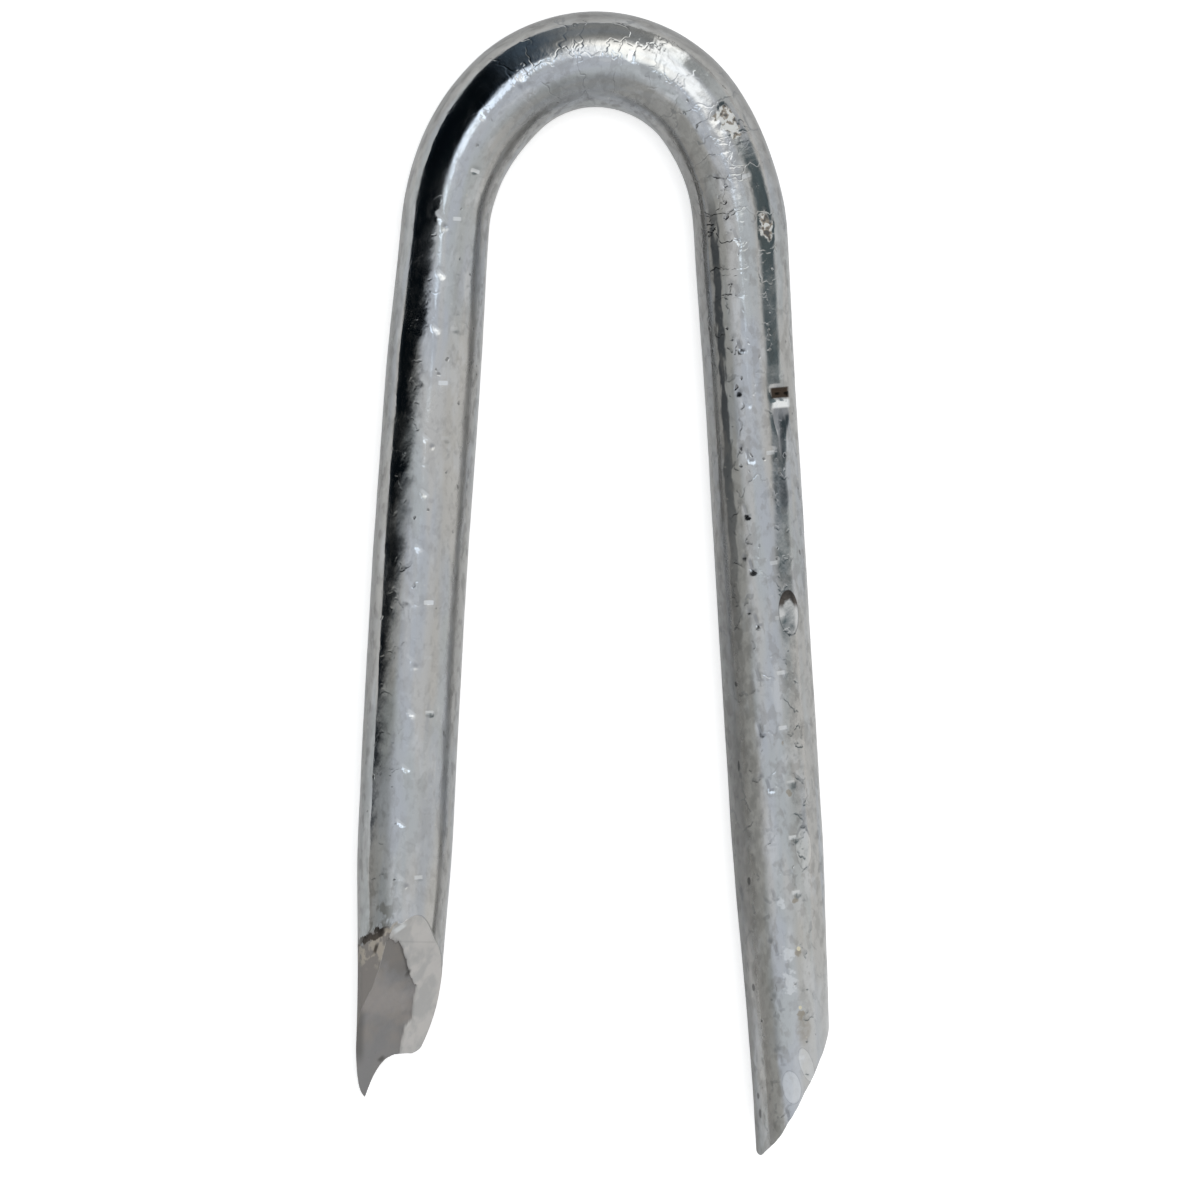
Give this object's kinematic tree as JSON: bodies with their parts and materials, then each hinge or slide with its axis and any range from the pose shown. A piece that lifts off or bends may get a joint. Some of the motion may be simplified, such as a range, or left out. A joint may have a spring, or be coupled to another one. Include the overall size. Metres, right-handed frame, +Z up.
{
  "type": "fence staple",
  "caption": "Bent length of round galvanised wire in a tall U, with unequal splayed legs sheared to slanted points.",
  "frame": {"origin": "centre of the footprint of the staple lying on its side, on the surface it lies on", "axes": "+Y from the points to the crown, +X across the legs towards the longer leg, +Z up from the surface"},
  "size_m": [0.019, 0.046, 0.0036],
  "materials": {
    "zinc": "hot-dip zinc on steel wire, dull grey with bright streaks, bare grey steel at the sheared points"
  },
  "bodies": {
    "root": {"fence_staple": "zinc"}
  },
  "joints": []
}
